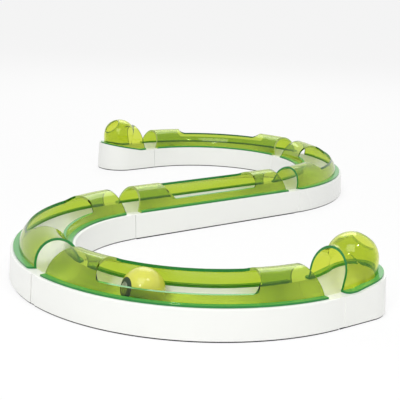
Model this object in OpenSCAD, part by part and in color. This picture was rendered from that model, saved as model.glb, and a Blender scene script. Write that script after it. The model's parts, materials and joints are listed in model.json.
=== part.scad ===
// Ball track for a cat: covered tunnels and two domed end pockets, joined in an S, with one ball.
// The origin is on the floor under the middle of the straight piece, which runs along X.
// The layout is the same after half a turn about +Z.

/* [Track layout] */
// Radius of a curved piece's centre line
track_r = 151; // [140:1:175]
// Length of the straight piece
straight_len = 225; // [180:1:260]
// From an end piece's joint to the centre of its round end
end_len = 41; // [38:1:60]
// Gap between two bases at a joint
joint_gap = 0.3; // [0.2:0.05:0.6]

/* [Ball way] */
// Radius of the round way that the ball rolls through
way_r = 20; // [19.6:0.1:22]
// Height of the way's lowest line above the floor
way_floor_h = 9.8; // [9:0.1:11]

/* [Base mouldings] */
// Height of the ledge that carries the covers
ledge_h = 26.75; // [24:0.25:28]
// Wall of a base
base_wall = 2.2; // [1.6:0.1:2.6]
// Bare width of ledge outside a cover's flange
ledge_border = 2.65; // [1.6:0.05:5]
// Lean of each side wall between the floor and the ledge
wall_lean = 1.35; // [0.5:0.05:2.5]
// Rounding of the ledge's outer edge
edge_r = 1; // [0.4:0.1:1.4]
// Ribs under a base, between its end walls
rib_count = 5; // [3:2:7]
// Thickness of a rib
rib_t = 1.6; // [1:0.1:2.4]
// Height of the ribs' lower edges above the floor
rib_lift = 2; // [1:0.5:4]
// Length of the shallow collar at a base's tongue end
collar_len = 6; // [4:0.5:8]
// Depth of that collar in the side walls
collar_depth = 0.5; // [0.2:0.1:0.8]
// Rise of an end piece's rim, from where it starts to climb to its tip
rim_rise = 10; // [4:0.5:14]
// From an end piece's joint to where its rim starts to climb
rim_start = 22; // [21:0.5:28]

/* [Base joints] */
// Width of a tongue's neck
neck_w = 10; // [7:0.5:13]
// Radius of a tongue's round head
head_r = 8; // [7:0.25:9]
// From the joint to the centre of the tongue's head
tongue_reach = 12; // [10:0.5:14]
// Thickness of a tongue
tongue_t = 4; // [3:0.25:5]
// Height of a tongue's underside above the floor
tongue_lift = 1.2; // [0.6:0.1:1.6]
// Length of a tongue's root inside its own base
root_len = 10; // [6:0.5:14]
// Wall of the pocket that holds a tongue's head
pocket_wall = 4; // [2:0.5:5]
// Clearance round tongues and locating tabs
fit_gap = 0.3; // [0.2:0.05:0.4]

/* [Covers] */
// Wall of a cover
cover_wall = 2.2; // [1.6:0.1:2.6]
// Reach of a cover's flange beyond its wall
flange_reach = 4.8; // [4.7:0.1:6]
// Thickness of a flange
flange_t = 1.75; // [1.2:0.05:2.2]
// Air between a cover's seat and the ledge below it
seat_gap = 0.02; // [0.01:0.01:0.1]
// From a joint to the foot of a cover's end
foot_gap = 8.4; // [6:0.1:12]
// How far the crest of a cover's end is set back from its foot
crest_set = 7.2; // [4:0.1:12]
// How much lower a cover's tunnel is than the way below it
tunnel_drop = 2.7; // [0:0.1:3]
// Rounding of a flange's corners, where they are rounded
flange_corner_r = 4.6; // [3:0.1:4.6]
// How far a flange with rounded corners stops short of its cover's sloping end
flange_set = 0.3; // [0.2:0.05:1]
// Length of a locating tab under a flange
tab_len = 8; // [5:0.5:9]
// Thickness of a locating tab
tab_t = 1.8; // [1.2:0.1:2.2]
// Depth of a locating tab below the ledge
tab_depth = 5; // [3:0.5:6]
// Space between a tab's slot and the wall of the ball way
tab_space = 0.6; // [0.3:0.1:1]

/* [Paw openings] */
// Length of a paw opening along the centre line
paw_len = 125; // [80:1:130]
// Reach of the opening from the crest to its low side
paw_low_reach = 21.5; // [16:0.25:21.5]
// Height of its edge on the low side
paw_low_h = 35; // [32:0.25:40]
// Reach from the crest to its high side, in a cover with a square-cornered flange
paw_high_reach = 12; // [8:0.25:13]
// Reach from the crest to its high side, in a cover with a round-cornered flange
paw_outer_reach = 15; // [8:0.25:15.5]
// Height that its high side is cut down to, inside the wall
paw_high_h = 39; // [36:0.25:39]
// Rounding of its corners on the low side, seen from above
paw_low_corner_r = 12; // [6:0.5:13]
// Rounding of its corners on the high side, seen from above
paw_high_corner_r = 8; // [2:0.5:9]

/* [End domes] */
// Outer radius of a dome
dome_r = 22.3; // [22.3:0.1:24.6]
// Height of a dome's centre above the floor
dome_h = 46; // [42:0.2:50]
// Outer radius of the round top of a dome's mouth
mouth_r = 21; // [20.8:0.1:22.2]
// Height of the centre of that round top
mouth_h = 38.3; // [36:0.1:44]
// From the joint to the foot of the mouth
mouth_gap = 10.7; // [8:0.1:12]
// Lean of the mouth's rim, in degrees
mouth_lean = 14.5; // [0:0.1:18]
// Radius of the paw hole in a dome
dome_hole_r = 11.25; // [10:0.25:16]
// Tilt of the paw hole from straight up, in degrees
dome_hole_tilt = 43; // [30:1:55]

/* [Ball] */
// Diameter of the ball
ball_d = 36; // [34:0.25:36.4]
// Gap between the ball and the way's lowest line
ball_lift = 0.3; // [0.2:0.05:0.5]
// Wall of the ball's two halves
ball_wall = 1.6; // [1.2:0.1:2]
// Where the ball lies on the front curve, as an angle about the curve's centre
ball_angle = 214.2; // [196:0.1:254]
// Heading of the battery cap's face, as an angle about +Z
cap_heading = 175; // [150:1:200]
// Upward tilt of the battery cap's face, in degrees
cap_tilt = 12; // [0:1:20]
// Radius of the battery cap
cap_r = 8.8; // [8:0.1:9.2]
// Radius of the clear window in the cap
lens_r = 5; // [4:0.1:5.4]
// Wall of the barrel that holds the battery and the lamp
barrel_wall = 1.4; // [1:0.1:1.8]
// Radius of a button cell
cell_r = 5.8; // [5:0.1:6.2]
// Height of a button cell
cell_h = 2.6; // [2:0.1:3]
// Button cells in the stack
cell_count = 2; // [1:1:3]
// Radius of the lamp board
board_r = 7.4; // [6.6:0.1:7.6]
// Thickness of the lamp board
board_t = 1; // [0.8:0.1:1.4]
// Radius of the lamp
lamp_r = 1.5; // [1:0.1:2]
// Height of the lamp's straight part
lamp_h = 2; // [1.4:0.1:2.4]
// Radius of the roll switch's can
switch_r = 1.2; // [0.8:0.1:1.4]
// Height of the roll switch's can
switch_h = 3.4; // [2.4:0.1:4]
// Height of the sealing ring
seal_h = 1; // [0.8:0.1:1.2]
// Depth of the cap's skirt below its face plate
skirt_h = 2.8; // [2:0.1:3]

/* [Hidden] */
$fn = 96;

// Cuts run past the faces they cut by this much
over = 1;
// A curved piece turns the track by this angle
curve_angle = 90;
curve_half = curve_angle / 2;
// Where the middles of the two near curves lie about their centre
left_angle = curve_angle + curve_half;
front_angle = 2 * curve_angle + curve_half;

// Heights and widths across the track
way_h = way_floor_h + way_r;
trough_r = way_r + base_wall;
tunnel_r = way_r + cover_wall;
tunnel_h = way_h - tunnel_drop;
crest_h = tunnel_h + tunnel_r;
flange_half = tunnel_r + flange_reach;
top_half = flange_half + ledge_border;
seat_h = ledge_h + seat_gap;
floor_half = top_half + wall_lean;
dome_top_h = dome_h + dome_r;

// Places along a piece
base_half = curve_half - angle_of(joint_gap / 2);
cover_half = curve_half - angle_of(foot_gap);
paw_half = angle_of(paw_len / 2);
end_slope_share = crest_set / (crest_h - ledge_h);
flange_back = flange_set + flange_t * end_slope_share;
collar_angle = angle_of(collar_len);
straight_half = straight_len / 2;
tip_x = end_len + top_half;

// Ribs stand at even steps, and a cover's tabs hang midway between two of them
rib_angle = curve_angle / (rib_count + 1);
rib_space = straight_len / (rib_count + 1);
tab_step_share = 1.5;
tab_y = trough_r + tab_space + fit_gap + tab_t / 2;
dome_tab_x = mouth_gap + flange_corner_r / 2 + tab_len / 2;
end_rib_shares = [0.72, 1];

// The pocket round a tongue's head
pocket_len = tongue_reach + head_r + fit_gap + pocket_wall;
pocket_half = head_r + fit_gap + pocket_wall;
pocket_h = way_floor_h - base_wall / 2;

// The ball, measured from its centre along the cap's axis
ball_r = ball_d / 2;
ball_h = way_floor_h + ball_lift + ball_r;
lip_h = 1.2 * ball_wall;
slip_gap = fit_gap / 2;
cap_plate_z = ball_r - 2 * ball_wall;
lens_z = cap_plate_z - ball_wall / 2;
lens_flange_r = (lens_r + cap_r - barrel_wall) / 2;
skirt_z = cap_plate_z - skirt_h;
skirt_r = cap_r - barrel_wall;
seal_z = skirt_z - seal_h;
barrel_r = cap_r + slip_gap;
board_top_z = lens_z - fit_gap - lamp_r - lamp_h;
board_z = board_top_z - board_t;
board_well_r = board_r + slip_gap;
cells_z = board_z - cell_count * cell_h;
cell_well_r = cell_r + slip_gap;
switch_x = (lamp_r + board_r) / 2;

function angle_of(len) = len / track_r * 180 / PI;
function half_at(z) = floor_half - wall_lean * z / ledge_h;
function rim_at(x) = ledge_h + rim_rise * max(0, x - rim_start) / (tip_x - rim_start);
function paw_edge_at(y, high_reach) =
  paw_high_h + (paw_low_h - paw_high_h) * (y + high_reach) / (paw_low_reach + high_reach);

// Directions. In a track frame x runs along the track, y across it and z up.

module along(len) {
  rotate([90, 0, 90]) linear_extrude(len) children();
}

module across(width) {
  rotate([90, 0, 0]) linear_extrude(width, center = true) children();
}

module arc_sweep(half) {
  rotate(-half) rotate_extrude(angle = 2 * half) translate([track_r, 0]) children();
}

// The track frame at an angle on a curve about the origin, with y pointing outwards
module at_arc(angle) {
  rotate(angle) translate([track_r, 0, 0]) rotate(-90) children();
}

// Pieces of the near half are drawn on these places, and the far half by half a turn
module on_near_curve(middle_angle) {
  translate([-straight_half, -track_r, 0]) rotate(middle_angle) children();
}

module on_near_end() {
  translate([-straight_half, -2 * track_r, 0]) children();
}

module far_side() {
  rotate(180) children();
}

// Outlines seen from above

module sector(r_in, r_out, half) {
  reach = r_out + over;
  intersection() {
    difference() {
      circle(r_out);
      if (r_in > 0) circle(r_in);
    }
    polygon([[0, 0], [reach, -reach * tan(half)], [reach, reach * tan(half)]]);
  }
}

// A ring sector whose inner and outer corners are rounded
module arc_band(r_in, r_out, half, corner_in, corner_out) {
  in_r = r_in + corner_in;
  out_r = r_out - corner_out;
  in_half = half - asin(corner_in / in_r);
  out_half = half - asin(corner_out / out_r);
  sector(in_r, out_r, half);
  sector(r_in, out_r, in_half);
  sector(in_r, r_out, out_half);
  for (side = [-1, 1]) {
    if (corner_in > 0) rotate(side * in_half) translate([in_r, 0]) circle(corner_in);
    if (corner_out > 0) rotate(side * out_half) translate([out_r, 0]) circle(corner_out);
  }
}

// A bar along x from y_low to y_high, with the corners of each side rounded
module bar_band(half_len, y_low, y_high, corner_low, corner_high) {
  low = y_low + corner_low;
  high = y_high - corner_high;
  translate([-half_len, low]) square([2 * half_len, high - low]);
  translate([corner_low - half_len, y_low]) square([2 * (half_len - corner_low), high - y_low]);
  translate([corner_high - half_len, low]) square([2 * (half_len - corner_high), y_high - low]);
  for (side = [-1, 1]) {
    if (corner_low > 0) translate([side * (half_len - corner_low), low]) circle(corner_low);
    if (corner_high > 0) translate([side * (half_len - corner_high), high]) circle(corner_high);
  }
}

// An end piece's outline: straight sides from x_start, then a half circle
module end_plan(x_start, half, corner) {
  translate([x_start + corner, -half]) square([end_len - x_start - corner, 2 * half]);
  translate([x_start, corner - half]) square([end_len - x_start, 2 * (half - corner)]);
  translate([end_len, 0]) circle(half);
  if (corner > 0)
    for (side = [-1, 1]) translate([x_start + corner, side * (half - corner)]) circle(corner);
}

// Sections across the track, drawn as x across and y up

module way_circle(r) {
  translate([0, way_h]) circle(r);
}

module tunnel_circle(r) {
  translate([0, tunnel_h]) circle(r);
}

module side_outline(inset, low, high) {
  polygon([
    [inset - half_at(low), low],
    [half_at(low) - inset, low],
    [half_at(high) - inset, high],
    [inset - half_at(high), high]
  ]);
}

module base_section() {
  difference() {
    union() {
      side_outline(0, 0, ledge_h - edge_r);
      translate([edge_r - top_half, ledge_h - 2 * edge_r])
        square([2 * (top_half - edge_r), 2 * edge_r]);
      for (side = [-1, 1])
        translate([side * (top_half - edge_r), ledge_h - edge_r]) circle(edge_r);
    }
    difference() {
      side_outline(base_wall, -over, ledge_h - base_wall);
      way_circle(trough_r);
    }
    way_circle(way_r);
  }
}

// The filling of a base's hollow underside, sunk halfway into its walls
module rib_section(low) {
  difference() {
    side_outline(base_wall / 2, low, ledge_h - base_wall / 2);
    way_circle(way_r + base_wall / 2);
  }
}

module collar_section() {
  difference() {
    translate([-floor_half - over, -over])
      square([2 * (floor_half + over), ledge_h + 2 * over]);
    side_outline(collar_depth, -2 * over, ledge_h + 2 * over);
  }
}

module cover_section() {
  intersection() {
    difference() {
      tunnel_circle(tunnel_r);
      tunnel_circle(way_r);
    }
    translate([-tunnel_r, seat_h]) square([2 * tunnel_r, tunnel_r + way_r]);
  }
}

// What lies above a paw opening's edge, with its high side on the left
module paw_section(high_reach) {
  left = -high_reach - over;
  right = paw_low_reach + over;
  polygon([
    [left, paw_edge_at(left, high_reach)],
    [right, paw_edge_at(right, high_reach)],
    [right, crest_h + over],
    [left, crest_h + over]
  ]);
}

// Parts of the base joints, in a track frame at the joint, with x towards the tongue's tip

module tongue_outline(gap) {
  translate([-root_len, -neck_w / 2 - gap]) square([root_len + tongue_reach, neck_w + 2 * gap]);
  translate([tongue_reach, 0]) circle(head_r + gap);
}

module tongue_end() {
  translate([-joint_gap / 2 - base_wall, 0, 0]) along(base_wall) rib_section(0);
  translate([0, 0, tongue_lift]) linear_extrude(tongue_t) tongue_outline(0);
  translate([-root_len, -neck_w / 2, tongue_lift])
    cube([root_len - joint_gap / 2, neck_w, pocket_h - tongue_lift]);
}

module pocket_end() {
  translate([joint_gap / 2, 0, 0]) along(base_wall) rib_section(0);
  translate([joint_gap / 2, -pocket_half, 0])
    cube([pocket_len - joint_gap / 2, 2 * pocket_half, pocket_h]);
}

module pocket_cut() {
  translate([0, 0, -over])
    linear_extrude(over + tongue_lift + tongue_t + fit_gap) tongue_outline(fit_gap);
}

module rib() {
  translate([-rib_t / 2, 0, 0]) along(rib_t) rib_section(rib_lift);
}

// Locating tabs, and with a gap their slots in the ledge

module tab(gap, seat_h) {
  height = gap > 0 ? tab_depth + gap + tab_depth : tab_depth + flange_t / 2;
  translate([-tab_len / 2 - gap, -tab_t / 2 - gap, seat_h - tab_depth - gap])
    cube([tab_len + 2 * gap, tab_t + 2 * gap, height]);
}

module arc_tabs(gap) {
  for (end = [-1, 1], side = [-1, 1])
    at_arc(end * tab_step_share * rib_angle) translate([0, side * tab_y, 0]) tab(gap, ledge_h);
}

module straight_tabs(gap) {
  for (end = [-1, 1], side = [-1, 1])
    translate([end * tab_step_share * rib_space, side * tab_y, 0]) tab(gap, ledge_h);
}

module dome_tabs(gap) {
  for (side = [-1, 1]) translate([dome_tab_x, side * tab_y, 0]) tab(gap, ledge_h);
  translate([end_len + tab_y, 0, 0]) rotate(90) tab(gap, rim_at(end_len + tab_y));
}

// Base mouldings

module curved_base() {
  color("#f6f7f1") difference() {
    union() {
      arc_sweep(base_half) base_section();
      for (i = [1 : rib_count]) at_arc(i * rib_angle - curve_half) rib();
      at_arc(-curve_half) tongue_end();
      at_arc(curve_half) pocket_end();
    }
    at_arc(curve_half) pocket_cut();
    arc_tabs(fit_gap);
    rotate(-curve_half) rotate_extrude(angle = collar_angle)
      translate([track_r, 0]) collar_section();
  }
}

module straight_base() {
  color("#f6f7f1") difference() {
    union() {
      translate([joint_gap / 2 - straight_half, 0, 0]) along(straight_len - joint_gap) base_section();
      for (i = [1 : rib_count]) translate([i * rib_space - straight_half, 0, 0]) rib();
      for (turn = [0, 180]) rotate(turn) translate([-straight_half, 0, 0]) pocket_end();
    }
    for (turn = [0, 180]) rotate(turn) translate([-straight_half, 0, 0]) pocket_cut();
    straight_tabs(fit_gap);
  }
}

// The space under an end piece's rim, lowered by drop
module under_rim(x_start, low, drop) {
  across(2 * (floor_half + over)) polygon([
    [x_start, low],
    [tip_x + over, low],
    [tip_x + over, rim_at(tip_x + over) - drop],
    [rim_start, ledge_h - drop],
    [x_start, ledge_h - drop]
  ]);
}

module end_block(x_start, inset, low) {
  high = ledge_h + rim_rise + over;
  intersection() {
    union() {
      translate([x_start, 0, 0]) along(end_len - x_start) side_outline(inset, low, high);
      translate([end_len, 0, low])
        cylinder(r1 = half_at(low) - inset, r2 = half_at(high) - inset, h = high - low);
    }
    under_rim(x_start, low, inset);
  }
}

// The ball way of an end piece, with a round end that is open at the top
module end_way(r) {
  translate([-over, 0, 0]) along(end_len + over) way_circle(r);
  translate([end_len, 0, way_h]) sphere(r);
  translate([0, 0, way_h]) linear_extrude(rim_rise + over) end_plan(-over, r, 0);
}

module end_base() {
  color("#f6f7f1") difference() {
    union() {
      difference() {
        end_block(joint_gap / 2, 0, 0);
        difference() {
          end_block(0, base_wall, -over);
          end_way(trough_r);
        }
      }
      for (share = end_rib_shares) translate([share * end_len, 0, 0]) rib();
      rotate(180) tongue_end();
    }
    end_way(way_r);
    dome_tabs(fit_gap);
    along(collar_len) collar_section();
  }
}

// Covers

// What lies beyond a cover's end, whose crest is set back from its foot
module end_cut() {
  translate([0, 0, ledge_h]) rotate([0, -atan(end_slope_share), 0])
    translate([0, -flange_half - over, -crest_h])
      cube([crest_h, 2 * (flange_half + over), 2 * crest_h]);
}

// The space of a curved cover's paw opening. Its high side faces the curve's centre where
// the flange has square corners, and faces away from it where they are rounded
module curved_paw_space(rounded) {
  if (rounded)
    intersection() {
      translate([0, 0, ledge_h]) linear_extrude(crest_h) arc_band(
        track_r - paw_low_reach,
        track_r + paw_outer_reach,
        paw_half,
        paw_low_corner_r,
        paw_high_corner_r
      );
      arc_sweep(cover_half) mirror([1, 0]) paw_section(paw_outer_reach);
    }
  else
    intersection() {
      translate([0, 0, ledge_h]) linear_extrude(crest_h) arc_band(
        track_r - paw_high_reach,
        track_r + paw_low_reach,
        paw_half,
        paw_high_corner_r,
        paw_low_corner_r
      );
      arc_sweep(cover_half) paw_section(paw_high_reach);
    }
}

module curved_cover(rounded) {
  corner = rounded ? flange_corner_r : 0;
  plate_half = cover_half - (rounded ? angle_of(flange_back) : 0);
  color([0.55, 0.8, 0.15, 0.6]) difference() {
    union() {
      arc_sweep(cover_half) cover_section();
      difference() {
        translate([0, 0, seat_h]) linear_extrude(flange_t)
          arc_band(track_r - flange_half, track_r + flange_half, plate_half, corner, corner);
        arc_sweep(curve_half) tunnel_circle(way_r + cover_wall / 2);
      }
      arc_tabs(0);
    }
    curved_paw_space(rounded);
    at_arc(-cover_half) end_cut();
    at_arc(cover_half) mirror([1, 0, 0]) end_cut();
  }
}

module straight_cover() {
  half_len = straight_half - foot_gap;
  color([0.55, 0.8, 0.15, 0.6]) difference() {
    union() {
      translate([-half_len, 0, 0]) along(2 * half_len) cover_section();
      difference() {
        translate([0, 0, seat_h]) linear_extrude(flange_t)
          bar_band(half_len, -flange_half, flange_half, 0, 0);
        translate([-straight_half, 0, 0])
          along(straight_len) tunnel_circle(way_r + cover_wall / 2);
      }
      straight_tabs(0);
    }
    intersection() {
      translate([0, 0, ledge_h]) linear_extrude(crest_h) bar_band(
        paw_len / 2,
        -paw_low_reach,
        paw_high_reach,
        paw_low_corner_r,
        paw_high_corner_r
      );
      translate([-half_len, 0, 0]) along(2 * half_len) mirror([1, 0]) paw_section(paw_high_reach);
    }
    for (turn = [0, 180]) rotate(turn) translate([half_len, 0, 0]) end_cut();
  }
}

// The space between two heights above an end piece's rim
module over_rim(low, high) {
  across(2 * (floor_half + over)) polygon([
    [0, ledge_h + low],
    [rim_start, ledge_h + low],
    [tip_x + over, rim_at(tip_x + over) + low],
    [tip_x + over, rim_at(tip_x + over) + high],
    [rim_start, ledge_h + high],
    [0, ledge_h + high]
  ]);
}

// A ball-shaped end on a round-topped tunnel
module dome_form(sphere_r, arch_r) {
  translate([end_len, 0, dome_h]) sphere(sphere_r);
  translate([end_len, 0, 0]) cylinder(r = sphere_r, h = dome_h);
  along(end_len) {
    translate([0, mouth_h]) circle(arch_r);
    translate([-arch_r, 0]) square([2 * arch_r, mouth_h]);
  }
}

module end_dome() {
  color([0.55, 0.8, 0.15, 0.6]) difference() {
    union() {
      difference() {
        intersection() {
          dome_form(dome_r, mouth_r);
          over_rim(seat_gap, dome_top_h);
        }
        translate([mouth_gap, 0, ledge_h]) rotate([0, mouth_lean, 0])
          translate([-dome_top_h, -flange_half, -dome_top_h])
            cube([dome_top_h, 2 * flange_half, 2 * dome_top_h]);
      }
      intersection() {
        linear_extrude(dome_top_h) end_plan(mouth_gap, flange_half, flange_corner_r);
        over_rim(seat_gap, seat_gap + flange_t);
      }
      dome_tabs(0);
    }
    dome_form(dome_r - cover_wall, mouth_r - cover_wall);
    translate([end_len, 0, dome_h]) rotate([0, dome_hole_tilt, 0])
      cylinder(r = dome_hole_r, h = dome_r + over);
  }
}

// The ball's parts, in a frame at its centre with z along the cap's axis

module in_ball() {
  translate([-straight_half, -track_r, 0]) rotate(ball_angle) translate([track_r, 0, ball_h])
    rotate(-ball_angle) rotate([0, 90 - cap_tilt, cap_heading]) children();
}

module tube(r_out, r_in, low, high) {
  translate([0, 0, low]) difference() {
    cylinder(r = r_out, h = high - low);
    translate([0, 0, -over]) cylinder(r = r_in, h = high - low + 2 * over);
  }
}

module half_shell(up) {
  difference() {
    sphere(ball_r);
    sphere(ball_r - ball_wall);
    translate([-ball_d, -ball_d, up > 0 ? -2 * ball_d : 0]) cube(2 * ball_d);
  }
}

module ball_open_half() {
  color([0.8, 0.95, 0.2, 0.8]) difference() {
    union() {
      half_shell(1);
      intersection() {
        sphere(ball_r - ball_wall / 2);
        translate([0, 0, cells_z - barrel_wall])
          cylinder(r = barrel_r + barrel_wall, h = ball_r);
      }
    }
    translate([0, 0, seal_z]) cylinder(r = barrel_r, h = ball_d);
    translate([0, 0, board_z]) cylinder(r = board_well_r, h = ball_r);
    translate([0, 0, cells_z]) cylinder(r = cell_well_r, h = ball_r);
  }
}

module ball_closed_half() {
  color([0.8, 0.95, 0.2, 0.8]) {
    half_shell(-1);
    tube(ball_r - ball_wall / 2, ball_r - 2 * ball_wall, -lip_h, 0);
    tube(ball_r - ball_wall - fit_gap, ball_r - 2 * ball_wall, -lip_h, lip_h);
  }
}

module ball_cap() {
  color("#5a6e5f") difference() {
    intersection() {
      sphere(ball_r);
      translate([0, 0, skirt_z]) cylinder(r = cap_r, h = ball_r);
    }
    translate([0, 0, skirt_z - over]) cylinder(r = skirt_r, h = cap_plate_z - skirt_z + over);
    cylinder(r = lens_r + slip_gap, h = ball_d);
  }
}

module cap_lens() {
  color([0.85, 0.95, 0.75, 0.8]) intersection() {
    sphere(ball_r - slip_gap);
    translate([0, 0, lens_z]) {
      cylinder(r = lens_flange_r, h = cap_plate_z - lens_z);
      cylinder(r = lens_r, h = ball_r);
    }
  }
}

module cap_seal() {
  color("#30352f") tube(cap_r, board_well_r, seal_z, skirt_z);
}

module lamp_board() {
  color("#2f7d4a") translate([0, 0, board_z]) cylinder(r = board_r, h = board_t);
}

module lamp() {
  color([0.95, 0.95, 0.9, 0.8]) translate([0, 0, board_top_z]) {
    cylinder(r = lamp_r, h = lamp_h);
    translate([0, 0, lamp_h]) sphere(lamp_r);
  }
}

module roll_switch() {
  color("#c8a24a") translate([switch_x, 0, board_top_z]) cylinder(r = switch_r, h = switch_h);
}

module button_cells() {
  color("#c9ccce") for (i = [0 : cell_count - 1])
    translate([0, 0, cells_z + i * cell_h]) cylinder(r = cell_r, h = cell_h);
}

on_near_end() end_base();  // near_end_base
on_near_curve(front_angle) curved_base();  // front_base
on_near_curve(left_angle) curved_base();  // left_base
straight_base();
far_side() on_near_curve(left_angle) curved_base();  // rear_base
far_side() on_near_curve(front_angle) curved_base();  // far_base
far_side() on_near_end() end_base();  // far_end_base
on_near_end() end_dome();  // near_dome
on_near_curve(front_angle) curved_cover(false);  // front_cover
on_near_curve(left_angle) curved_cover(true);  // left_cover
straight_cover();
far_side() on_near_curve(left_angle) curved_cover(true);  // rear_cover
far_side() on_near_curve(front_angle) curved_cover(false);  // far_cover
far_side() on_near_end() end_dome();  // far_dome
in_ball() ball_open_half();
in_ball() ball_closed_half();
in_ball() ball_cap();
in_ball() cap_lens();
in_ball() cap_seal();
in_ball() lamp_board();
in_ball() lamp();
in_ball() roll_switch();
in_ball() button_cells();
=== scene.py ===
import json
import math

import bmesh
import bpy
from mathutils import Euler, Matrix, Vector
from mathutils.bvhtree import BVHTree


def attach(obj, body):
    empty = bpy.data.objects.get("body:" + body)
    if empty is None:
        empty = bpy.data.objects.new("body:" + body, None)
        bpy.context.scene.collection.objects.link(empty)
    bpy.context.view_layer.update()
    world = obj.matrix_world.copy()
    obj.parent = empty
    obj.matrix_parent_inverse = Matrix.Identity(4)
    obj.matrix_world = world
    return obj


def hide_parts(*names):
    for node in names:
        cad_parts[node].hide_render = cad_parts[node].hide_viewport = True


bl_info = {
    "name": "Cat ball track",
    "version": (1, 0, 0),
    "blender": (4, 5, 0),
    "location": "3D View > Sidebar > Ball track",
    "description": "Dresses a ball track with its bases, lime covers, ball and studio",
    "category": "Object",
}

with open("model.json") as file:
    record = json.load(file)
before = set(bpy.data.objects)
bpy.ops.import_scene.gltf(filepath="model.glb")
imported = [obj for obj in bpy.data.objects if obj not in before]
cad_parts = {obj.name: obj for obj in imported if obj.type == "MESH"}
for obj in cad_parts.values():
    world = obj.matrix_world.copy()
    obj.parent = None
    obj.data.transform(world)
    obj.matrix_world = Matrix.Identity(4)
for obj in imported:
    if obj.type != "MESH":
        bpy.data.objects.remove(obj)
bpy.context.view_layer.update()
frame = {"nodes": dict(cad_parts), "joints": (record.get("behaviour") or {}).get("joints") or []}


def seen(red, green, blue):
    """The linear colour of one that a screen shows as these values from 0 to 255."""
    parts = [value / 255 for value in (red, green, blue)]
    return tuple(p / 12.92 if p <= 0.04045 else ((p + 0.055) / 1.055) ** 2.4 for p in parts)


# The track's pieces, by the names of their nodes
BASES = (
    "front_base",
    "left_base",
    "rear_base",
    "far_base",
    "near_end_base",
    "far_end_base",
    "straight_base",
)
COVERS = ("front_cover", "left_cover", "straight_cover", "rear_cover", "far_cover")
DOMES = ("near_dome", "far_dome")
SQUARE_ENDED = ("front_cover", "straight_cover", "far_cover")
FAR_CURVE_COVERS = ("rear_cover", "far_cover")
TRACK_BODY = "track"

# Material slots of a cover's mesh, and the second slot of a base's mesh, which holds the foot's
# painted shade
WALL_SLOT, FLANGE_SLOT, RIM_SLOT, PALE_SLOT = range(4)
FOOT_SLOT = 1

# The thickest place of a wall, as a share of the wall's own thickness
WALL_ALLOWANCE = 1.3

# Borders of surfaces that are nearer than this, in metres, are one border
WELD_DISTANCE = 1e-6

# How far under a face a ray starts, in metres
RAY_START = 1e-5

# The slope between a base's wall and its foot is one part in this many of the foot's height
SLOPE_PARTS = 10

# The second tint of the clear plastic, as shares of the first
GREENER = (0.93, 0.98, 0.9)

# Colours of the studio
WHITE = (1, 1, 1)
PAPER = (0.9, 0.9, 0.9)

# The camera's sensor in millimetres, and the nearest and farthest that it sees in metres
SENSOR_WIDTH = 36
NEAREST, FARTHEST = 0.01, 200

# Finishes of the parts inside the ball: name, two colours, scale of grain, roughness and metallic
BALL_INSIDE = {
    "cap_seal": ("rubber_seal", seen(48, 52, 48), seen(38, 42, 38), 900, 0.6, 0.0),
    "lamp_board": ("board_green", seen(40, 120, 70), seen(30, 96, 56), 600, 0.4, 0.0),
    "lamp": ("lamp_dome", seen(238, 240, 226), seen(222, 226, 210), 900, 0.15, 0.0),
    "roll_switch": ("switch_can", seen(206, 172, 92), seen(186, 150, 74), 900, 0.3, 1.0),
    "button_cells": ("cell_steel", seen(205, 208, 210), seen(180, 184, 188), 800, 0.25, 1.0),
}

# The soft boxes, with sides in metres and power in watts.
# The two small ones are the dome's highlights.
LAMPS = {
    "key_box": {"place": (-0.9, -0.7, 1.5), "target": (0, 0, 0), "side": 1.0, "power": 9.5},
    "back_box": {"place": (0.75, 0.95, 1.2), "target": (0, 0, 0), "side": 1.0, "power": 6.0},
    "high_box": {
        "place": (-0.044, -0.795, 1.161),
        "target": (-0.072, -0.302, 0.046),
        "side": 0.12,
        "power": 1.8,
    },
    "low_box": {
        "place": (-0.97, -0.791, 0.714),
        "target": (-0.072, -0.302, 0.046),
        "side": 0.12,
        "power": 1.8,
    },
}


def joint_named(name):
    """The frame's row for a joint."""
    return next(joint for joint in frame["joints"] if joint["name"] == name)


# Settings that a user would change


def colour_property(name, description, default):
    return bpy.props.FloatVectorProperty(
        name=name, description=description, default=default, subtype="COLOR", size=3, min=0, max=1
    )


def length_property(name, description, default):
    return bpy.props.FloatProperty(
        name=name, description=description, default=default, unit="LENGTH", precision=5
    )


def angle_property(name, description, degrees):
    return bpy.props.FloatProperty(
        name=name, description=description, default=math.radians(degrees), unit="ROTATION"
    )


def share_property(name, description, default):
    return bpy.props.FloatProperty(
        name=name, description=description, default=default, min=0, max=1, subtype="FACTOR"
    )


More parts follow.
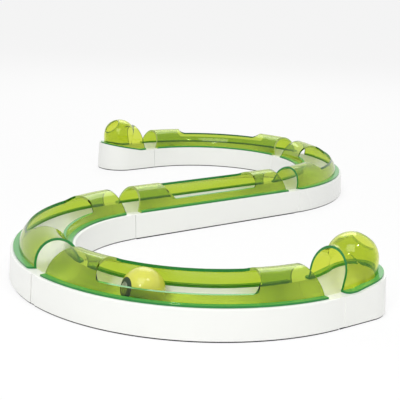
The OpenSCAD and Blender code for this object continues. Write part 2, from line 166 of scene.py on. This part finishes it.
class TrackFinishes(bpy.types.PropertyGroup):
    """Colours of the track's plastics."""

    base_white: colour_property("Base white", "Glossy white of the bases", (0.89, 0.895, 0.86))
    base_shade: colour_property("Base shade", "Second white over the bases", (0.85, 0.86, 0.83))
    # The foot's dark grey is painted shade, standing in for the contact shadow under each base
    foot_shade_grey: colour_property("Foot grey", "Grey of the foot under each base", seen(46, 45, 49))
    # The lime that one cover wall lets through, darker than the domes' for the same plastic:
    # painted shade for the lower light inside the tunnels
    cover_tint_and_shade: colour_property("Cover tint", "Light through one cover wall", (0.47, 0.605, 0.045))
    dome_tint: colour_property("Dome tint", "Light through one dome wall", (0.66, 0.735, 0.07))
    flange_tint: colour_property("Flange tint", "Deeper tint of the flanges", (0.04, 0.27, 0.055))
    # Painted light: the flanges glow in this colour though they are no lamp
    flange_painted_glow: colour_property("Flange glow", "Light that the flanges gather", (0.17, 0.62, 0.13))
    rim_green: colour_property("Rim green", "Emerald of mouths and flange edges", seen(34, 130, 58))
    # The pale lime is painted light: a lighter copy of the edge plastic for edges that catch more
    # light
    rim_pale_painted_light: colour_property("Rim pale", "Pale lime of the other cut edges", seen(196, 216, 112))
    ball_yellow: colour_property("Ball yellow", "Lime yellow of the shell", seen(231, 229, 98))
    ball_shade: colour_property("Ball shade", "Second lime over the shell", seen(218, 224, 78))
    cap_grey: colour_property("Cap grey", "Grey green of the ball's cap", seen(34, 60, 34))
    window_tint: colour_property("Window tint", "Tint of the cap's clear window", (0.8, 0.88, 0.7))


class TrackSizes(bpy.types.PropertyGroup):
    """Sizes of the dressing that the frame doesn't hold."""

    wall: length_property("Cover wall", "Thickness of a cover's wall", 0.0022)
    flange: length_property("Flange", "Thickness of a cover's flange", 0.00175)
    foot_height: length_property("Foot height", "Height of the foot that a base stands on", 0.0013)
    foot_inset: length_property("Foot inset", "How far the foot is set in from the wall", 0.0009)
    flange_top: length_property("Flange top", "Height of the flanges above the floor", 0.029)
    high_edge: length_property("High edge", "An opening's high edge lies above this", 0.0405)
    upright_share: share_property("Upright share", "How far an upright face may lean", 0.7)
    end_share: share_property("End share", "How nearly an end's face looks along the track", 0.7)
    mouth_share: share_property("Mouth share", "The same for a dome's mouth", 0.9)
    crease: angle_property("Crease", "Faces that meet at more than this keep a sharp edge", 30)
    dome_crease: angle_property("Dome crease", "The same for the domes and their arches", 60)


class StudioSizes(bpy.types.PropertyGroup):
    """Camera, floor and surroundings."""

    eye: bpy.props.FloatVectorProperty(
        name="Eye",
        description="Place of the camera",
        default=(-0.6245, -0.8243, 0.2725),
        subtype="TRANSLATION",
        unit="LENGTH",
        size=3,
    )
    heading: angle_property("Heading", "Camera's turn to the right of +Y", 36.84)
    pitch: angle_property("Pitch", "Camera's dip below the horizon", 13.58)
    roll: angle_property("Roll", "Camera's turn about its own line of sight", 1.87)
    lens: bpy.props.FloatProperty(
        name="Lens",
        description="Focal length in millimetres on a 36 mm sensor",
        default=83.72,
        min=1,
    )
    floor_size: length_property("Floor size", "Side of the square floor", 60.0)
    floor_glow: share_property("Floor glow", "Share of pure white in the floor that is seen", 0.78)
    surround: share_property("Surround", "Strength of the white surroundings as a light", 0.62)


class Wire:
    """A socket of a node tree, so that shader maths is written as plain expressions."""

    def __init__(self, finish, socket):
        self.finish = finish
        self.socket = socket

    def maths(self, operation, first, second):
        return self.finish.node("ShaderNodeMath", {"operation": operation}, {0: first, 1: second})

    def __add__(self, other):
        return self.maths("ADD", self, other)

    __radd__ = __add__

    def __mul__(self, other):
        return self.maths("MULTIPLY", self, other)

    __rmul__ = __mul__


class Finish:
    """The nodes of a material, or of the world, under construction."""

    def __init__(self, owner):
        owner.use_nodes = True
        owner.node_tree.nodes.clear()
        self.owner = owner
        self.tree = owner.node_tree

    @classmethod
    def named(cls, name):
        """A new material's finish."""
        return cls(bpy.data.materials.new(name))

    def node(self, kind, settings=None, sockets=None, output=0):
        """Adds a node with its settings, then its sockets' values or links, and gives an output."""
        made = self.tree.nodes.new(kind)
        for key, value in (settings or {}).items():
            setattr(made, key, value)
        for key, value in (sockets or {}).items():
            if isinstance(value, Wire):
                self.tree.links.new(value.socket, made.inputs[key])
            else:
                made.inputs[key].default_value = value
        return Wire(self, made.outputs[output]) if made.outputs else None

    def noise(self, scale, detail):
        """A number from 0 to 1 that drifts over the piece."""
        place = self.node("ShaderNodeTexCoord", output="Object")
        sockets = {"Vector": place, "Scale": scale, "Detail": detail, "Roughness": 0.5}
        return self.node("ShaderNodeTexNoise", {"noise_dimensions": "3D"}, sockets)

    def blend(self, share, first, second):
        """The first colour where the share is 0, and the second where it is 1."""
        sockets = {"Factor": share, "A": colour(first), "B": colour(second)}
        return self.node("ShaderNodeMix", {"data_type": "RGBA"}, sockets, output="Result")

    def bump(self, height, distance, strength):
        """Normals of a skin that rises by up to the distance, in metres."""
        sockets = {"Height": height, "Distance": distance, "Strength": strength}
        return self.node("ShaderNodeBump", None, sockets)

    def done(self, shader, output="ShaderNodeOutputMaterial"):
        """Joins the shader to the output and returns the material or the world."""
        self.node(output, None, {"Surface": shader})
        return self.owner

    def plastic(self, **sockets):
        """The finished material: a Principled shader, whose sockets are named with underscores."""
        named = {key.replace("_", " "): value for key, value in sockets.items()}
        return self.done(self.node("ShaderNodeBsdfPrincipled", None, named))


def colour(value):
    """A colour with its fourth part, or a wire as it is."""
    return value if isinstance(value, Wire) else (*value[:3], 1)


def darker(tint, share):
    """The tint with this share of its light."""
    return tuple(share * part for part in tint)


# Finishes


def base_finish():
    """Glossy white plastic with a faint drift in its white and the ripple of a moulded skin."""
    look = bpy.context.scene.track_finishes
    finish = Finish.named("glossy_white")
    drift = finish.noise(scale=9, detail=2)
    skin = finish.noise(scale=900, detail=2)
    return finish.plastic(
        Base_Color=finish.blend(drift, look.base_white, look.base_shade),
        Roughness=0.22 + 0.08 * drift,
        IOR=1.49,
        Normal=finish.bump(skin, distance=0.00002, strength=0.4),
    )


def clear_finish(name, tint):
    """Clear lime plastic: one wall lets yellow green through, and two walls make a deeper green."""
    finish = Finish.named(name)
    drift = finish.noise(scale=14, detail=2)
    skin = finish.noise(scale=60, detail=1)
    greener = tuple(share * part for share, part in zip(GREENER, tint))
    return finish.plastic(
        Base_Color=finish.blend(drift, tint, greener),
        Roughness=0.02 + 0.03 * drift,
        IOR=1.42,
        Transmission_Weight=1.0,
        Normal=finish.bump(skin, distance=0.0002, strength=0.25),
    )


def flange_finish():
    """The same plastic seen through the flange's length, so that it is a deeper green, with a
    painted glow that keeps the flanges bright in the shade too.
    """
    look = bpy.context.scene.track_finishes
    finish = Finish.named("flange_green")
    drift = finish.noise(scale=40, detail=2)
    return finish.plastic(
        Base_Color=finish.blend(drift * 0.4, look.flange_tint, look.rim_green),
        Roughness=0.12 + 0.08 * drift,
        IOR=1.42,
        Transmission_Weight=0.25,
        # Painted light: a glow that keeps the flanges bright where they are shaded
        Emission_Color=colour(look.flange_painted_glow),
        Emission_Strength=0.22,
    )


def edge_finish(name, tint, clear):
    """Cut edges, with a painted glow that stands in for the light that the whole wall gathers into
    them.
    """
    finish = Finish.named(name)
    drift = finish.noise(scale=55, detail=2)
    return finish.plastic(
        Base_Color=finish.blend(drift, tint, darker(tint, 0.72)),
        Roughness=0.12 + 0.1 * drift,
        IOR=1.45,
        Transmission_Weight=clear,
        # Painted light: the edges glow in their own colour though they are no lamp
        Emission_Color=colour(tint),
        Emission_Strength=0.12,
    )


def foot_shade_finish():
    """Grey rubbery foot with a fine grain, whose dark grey is painted shade: the contact shadow
    along the bottom of each base.
    """
    look = bpy.context.scene.track_finishes
    finish = Finish.named("foot_painted_shade")
    grain = finish.noise(scale=1200, detail=2)
    return finish.plastic(
        Base_Color=finish.blend(grain, look.foot_shade_grey, darker(look.foot_shade_grey, 0.7)),
        Roughness=0.6 + 0.2 * grain,
        Normal=finish.bump(grain, distance=0.00003, strength=0.6),
    )


def ball_finish():
    """Milky lime shell of the ball."""
    look = bpy.context.scene.track_finishes
    finish = Finish.named("milky_lime")
    drift = finish.noise(scale=60, detail=2)
    return finish.plastic(
        Base_Color=finish.blend(drift, look.ball_yellow, look.ball_shade),
        Roughness=0.16 + 0.08 * drift,
        IOR=1.45,
        Transmission_Weight=0.2,
    )


def cap_finish():
    """Satin grey green of the ring cap."""
    look = bpy.context.scene.track_finishes
    finish = Finish.named("grey_cap")
    grain = finish.noise(scale=700, detail=2)
    return finish.plastic(
        Base_Color=finish.blend(grain, look.cap_grey, darker(look.cap_grey, 0.75)),
        Roughness=0.48 + 0.12 * grain,
        Normal=finish.bump(grain, distance=0.00004, strength=0.5),
    )


def window_finish():
    """Nearly clear window in the middle of the cap."""
    look = bpy.context.scene.track_finishes
    finish = Finish.named("clear_window")
    drift = finish.noise(scale=200, detail=1)
    return finish.plastic(
        Base_Color=colour(look.window_tint),
        Roughness=0.05 + 0.05 * drift,
        IOR=1.45,
        Transmission_Weight=0.7,
    )


def inner_finish(name, first, second, scale, rough, metallic):
    """A finish for the small parts inside the ball: two colours that a fine noise mixes."""
    finish = Finish.named(name)
    grain = finish.noise(scale, detail=3)
    return finish.plastic(
        Base_Color=finish.blend(grain, first, second),
        Roughness=rough + 0.15 * grain,
        Metallic=metallic,
        Normal=finish.bump(grain, distance=0.00003, strength=0.5),
    )


# Mesh work


def copy_of(node, name):
    """A new object with a copy of the node's mesh."""
    mesh = frame["nodes"][node].data.copy()
    mesh.name = name
    piece = bpy.data.objects.new(name, mesh)
    bpy.context.scene.collection.objects.link(piece)
    return piece


def face_groups(mesh):
    """The mesh's faces in groups that share vertices: one for each true surface of the solid."""
    owner = list(range(len(mesh.vertices)))

    def root(item):
        while owner[item] != item:
            owner[item] = owner[owner[item]]
            item = owner[item]
        return item

    for face in mesh.polygons:
        first = root(face.vertices[0])
        for other in face.vertices[1:]:
            owner[root(other)] = first
    groups = {}
    for face in mesh.polygons:
        groups.setdefault(root(face.vertices[0]), []).append(face)
    return list(groups.values())


def depth_under(tree, face):
    """Thickness of the solid straight under the middle of a face."""
    place, _, _, distance = tree.ray_cast(face.center - face.normal * RAY_START, -face.normal)
    return 0.0 if place is None else distance


def middle_depth(tree, faces):
    """The depth that half of these faces' area lies under."""
    depths = sorted((depth_under(tree, face), face.area) for face in faces)
    half = sum(area for _, area in depths) / 2
    for depth, area in depths:
        half -= area
        if half <= 0:
            return depth
    return depths[-1][0]


def track_direction(node, place):
    """The way that the ball runs at a place on a cover.

    The far curve is the near one, half a turn on.
    """
    if node in DOMES or node == "straight_cover":
        return Vector((1, 0, 0))
    centre = Vector(joint_named("ball_travel")["pos_m"])
    if node in FAR_CURVE_COVERS:
        centre = -centre
    out = place - centre
    return Vector((-out.y, out.x, 0)).normalized()


def edge_slot(node, face, middle):
    """The slot of a cut edge.

    Emerald are the mouths of domes and of covers with rounded ends, the flanges' edges and the high
    edge of an opening. Pale are the domes' paw holes, the ends of square-ended covers, and the ends
    and the low edge of an opening.
    """
    sizes = bpy.context.scene.track_sizes
    place = Vector(face.center)
    normal = Vector(face.normal)
    faces_middle = normal.dot(middle - place) > 0
    along = abs(normal.dot(track_direction(node, place)))
    if node in DOMES:
        pale = place.z > sizes.high_edge and along < sizes.mouth_share
    elif along > sizes.end_share:
        pale = faces_middle or node in SQUARE_ENDED
    else:
        pale = sizes.flange_top < place.z < sizes.high_edge
    # The pale slot is painted light, a lighter copy of the same edge plastic as the emerald slot
    return PALE_SLOT if pale else RIM_SLOT


def sort_cover_faces(piece, node):
    """Gives walls, flanges and cut edges their own slots, by the depth under each surface."""
    sizes = bpy.context.scene.track_sizes
    mesh = piece.data
    tree = BVHTree.FromPolygons([v.co for v in mesh.vertices], [f.vertices for f in mesh.polygons])
    middle = sum((v.co for v in mesh.vertices), Vector()) / len(mesh.vertices)
    thin = (sizes.wall + sizes.flange) / 2
    for group in face_groups(mesh):
        depth = middle_depth(tree, group)
        for face in group:
            if depth < thin and face.center.z < sizes.high_edge:
                face.material_index = FLANGE_SLOT
            elif thin <= depth < WALL_ALLOWANCE * sizes.wall:
                face.material_index = WALL_SLOT
            else:
                face.material_index = edge_slot(node, face, middle)


def weld(piece):
    """Joins the surfaces' borders, so that the mesh is one closed skin."""
    work = bmesh.new()
    work.from_mesh(piece.data)
    bmesh.ops.remove_doubles(work, verts=work.verts, dist=WELD_DISTANCE)
    work.to_mesh(piece.data)
    work.free()


def set_foot(piece):
    """Steps the lowest strip of the outer walls inwards, as the foot that the moulding stands on.

    Two cuts make the step. A wall is an outer one if nothing of the piece lies in front of it.
    """
    sizes = bpy.context.scene.track_sizes
    work = bmesh.new()
    work.from_mesh(piece.data)
    step = sizes.foot_height / SLOPE_PARTS
    for height in (sizes.foot_height, sizes.foot_height - step):
        everything = [*work.verts, *work.edges, *work.faces]
        bmesh.ops.bisect_plane(work, geom=everything, plane_co=(0, 0, height), plane_no=(0, 0, 1))
    tree = BVHTree.FromBMesh(work)
    inwards = {}
    for face in work.faces:
        middle = face.calc_center_median()
        upright = abs(face.normal.z) < sizes.upright_share
        if not upright or middle.z > sizes.foot_height:
            continue
        flat = Vector((face.normal.x, face.normal.y, 0)).normalized()
        if tree.ray_cast(middle + flat * step, flat)[0] is not None:
            continue
        # The foot's faces take the dark grey of painted contact shadow
        face.material_index = FOOT_SLOT
        for vert in face.verts:
            if vert.co.z < sizes.foot_height - step / 2:
                inwards.setdefault(vert, []).append(-flat)
    for vert, ways in inwards.items():
        vert.co += sum(ways, Vector()).normalized() * sizes.foot_inset
    work.to_mesh(piece.data)
    work.free()


def shade(piece, limit):
    """Smooth shading with sharp edges where faces meet at more than this angle."""
    work = bmesh.new()
    work.from_mesh(piece.data)
    for face in work.faces:
        face.smooth = True
    for edge in work.edges:
        edge.smooth = len(edge.link_faces) == 2 and edge.calc_face_angle(0) < limit
    work.to_mesh(piece.data)
    work.free()


def give(piece, *materials):
    """Puts the materials in the piece's slots, in this order."""
    piece.data.materials.clear()
    for material in materials:
        piece.data.materials.append(material)


def dress(piece, node, body):
    """Makes the piece stand for a node, whose own mesh it hides, and ride on a body."""
    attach(piece, body)
    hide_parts(node)


class TRACK_OT_bases(bpy.types.Operator):
    """Makes the white base mouldings, each on a foot that is set in from its side wall."""

    bl_idname = "track.bases"
    bl_label = "Base mouldings"

    def execute(self, context):
        white = base_finish()
        # The foot's dark grey is painted shade along each base's bottom
        foot = foot_shade_finish()
        for node in BASES:
            piece = copy_of(node, f"{node}_moulding")
            weld(piece)
            give(piece, white, foot)
            set_foot(piece)
            shade(piece, context.scene.track_sizes.crease)
            dress(piece, node, TRACK_BODY)
        return {"FINISHED"}


class TRACK_OT_covers(bpy.types.Operator):
    """Makes the clear lime covers and domes with emerald edges."""

    bl_idname = "track.covers"
    bl_label = "Covers and domes"

    def execute(self, context):
        look = context.scene.track_finishes
        sizes = context.scene.track_sizes
        edges = (
            flange_finish(),
            edge_finish("emerald_rim", look.rim_green, clear=0.1),
            # Painted light: a pale copy of the edge plastic
            edge_finish("pale_rim_painted_light", look.rim_pale_painted_light, clear=0.4),
        )
        kinds = (
            # The covers' darker tint is partly painted shade inside the tunnels
            (COVERS, clear_finish("clear_lime", look.cover_tint_and_shade), sizes.crease),
            (DOMES, clear_finish("clear_dome", look.dome_tint), sizes.dome_crease),
        )
        for nodes, wall, crease in kinds:
            for node in nodes:
                piece = copy_of(node, f"{node}_shell")
                give(piece, wall, *edges)
                sort_cover_faces(piece, node)
                weld(piece)
                shade(piece, crease)
                dress(piece, node, node)
        return {"FINISHED"}


class TRACK_OT_ball(bpy.types.Operator):
    """Gives the ball's shells, cap and inner parts their finishes."""

    bl_idname = "track.ball"
    bl_label = "Ball"

    def execute(self, context):
        lime = ball_finish()
        outer = {
            "ball_open_half": lime,
            "ball_closed_half": lime,
            "ball_cap": cap_finish(),
            "cap_lens": window_finish(),
        }
        for node, material in outer.items():
            give(frame["nodes"][node], material)
        for node, look in BALL_INSIDE.items():
            give(frame["nodes"][node], inner_finish(*look))
        return {"FINISHED"}


class TRACK_OT_studio(bpy.types.Operator):
    """Makes the floor, the soft light and the camera."""

    bl_idname = "track.studio"
    bl_label = "Studio"

    def execute(self, context):
        make_floor()
        make_world()
        make_lamps()
        make_camera()
        return {"FINISHED"}


def shown_directly(finish):
    """1 for the camera's rays, and for those that come off gloss or through clear plastic."""
    kinds = ("Is Camera Ray", "Is Glossy Ray", "Is Transmission Ray")
    total = sum(finish.node("ShaderNodeLightPath", output=kind) for kind in kinds)
    return finish.node("ShaderNodeClamp", None, {"Value": total})


def make_floor():
    """A pale floor, nearly white where it is seen, that keeps a little of the track's shadow."""
    sizes = bpy.context.scene.studio_sizes
    half = sizes.floor_size / 2
    mesh = bpy.data.meshes.new("floor")
    corners = [(-half, -half, 0), (half, -half, 0), (half, half, 0), (-half, half, 0)]
    mesh.from_pydata(corners, [], [(0, 1, 2, 3)])
    floor = bpy.data.objects.new("floor", mesh)
    bpy.context.scene.collection.objects.link(floor)
    finish = Finish.named("pale_floor")
    share = shown_directly(finish) * sizes.floor_glow
    paper = finish.node("ShaderNodeBsdfDiffuse", None, {"Color": colour(PAPER)})
    glow = finish.node("ShaderNodeEmission", None, {"Color": colour(WHITE), "Strength": 1.0})
    mixed = finish.node("ShaderNodeMixShader", None, {0: share, 1: paper, 2: glow})
    give(floor, finish.done(mixed))


def make_world():
    """White surroundings that light the track more softly than they are seen."""
    world = bpy.data.worlds.new("studio")
    bpy.context.scene.world = world
    surround = bpy.context.scene.studio_sizes.surround
    finish = Finish(world)
    strength = surround + shown_directly(finish) * (1 - surround)
    sky = finish.node("ShaderNodeBackground", None, {"Color": colour(WHITE), "Strength": strength})
    finish.done(sky, output="ShaderNodeOutputWorld")


def make_lamps():
    """The soft boxes, each turned towards what it lights."""
    for name, box in LAMPS.items():
        light = bpy.data.lights.new(name, "AREA")
        light.shape = "SQUARE"
        light.size = box["side"]
        light.energy = box["power"]
        lamp = bpy.data.objects.new(name, light)
        lamp.location = box["place"]
        towards = Vector(box["target"]) - Vector(box["place"])
        lamp.rotation_euler = towards.to_track_quat("-Z", "Y").to_euler()
        bpy.context.scene.collection.objects.link(lamp)


def make_camera():
    """The camera at the photograph's place and angle."""
    sizes = bpy.context.scene.studio_sizes
    data = bpy.data.cameras.new("camera")
    data.lens = sizes.lens
    data.sensor_width = SENSOR_WIDTH
    data.clip_start = NEAREST
    data.clip_end = FARTHEST
    camera = bpy.data.objects.new("camera", data)
    camera.location = sizes.eye
    stand = Euler((math.radians(90) - sizes.pitch, 0, -sizes.heading), "XYZ").to_matrix()
    turn = Euler((0, 0, sizes.roll), "XYZ").to_matrix()
    camera.rotation_euler = (stand @ turn).to_euler()
    bpy.context.scene.collection.objects.link(camera)
    bpy.context.scene.camera = camera


class TRACK_PT_panel(bpy.types.Panel):
    """Lists the track's steps, finishes and sizes in the 3D view's sidebar."""

    bl_idname = "TRACK_PT_panel"
    bl_label = "Ball track"
    bl_space_type = "VIEW_3D"
    bl_region_type = "UI"
    bl_category = "Ball track"

    def draw(self, context):
        for step in STEPS:
            self.layout.operator(step.bl_idname)
        for group in GROUPS:
            settings = getattr(context.scene, group)
            for name in settings.__annotations__:
                self.layout.prop(settings, name)


STEPS = (TRACK_OT_bases, TRACK_OT_covers, TRACK_OT_ball, TRACK_OT_studio)
GROUPS = {
    "track_finishes": TrackFinishes,
    "track_sizes": TrackSizes,
    "studio_sizes": StudioSizes,
}
CLASSES = (*GROUPS.values(), *STEPS, TRACK_PT_panel)


def register():
    for item in CLASSES:
        bpy.utils.register_class(item)
    for name, group in GROUPS.items():
        setattr(bpy.types.Scene, name, bpy.props.PointerProperty(type=group))


def unregister():
    for name in GROUPS:
        delattr(bpy.types.Scene, name)
    for item in reversed(CLASSES):
        bpy.utils.unregister_class(item)


def main():
    """Dresses the track in order."""
    register()
    bpy.context.scene.view_settings.view_transform = "Standard"
    bpy.ops.track.bases()
    bpy.ops.track.covers()
    bpy.ops.track.ball()
    bpy.ops.track.studio()


if __name__ == "__main__":
    main()
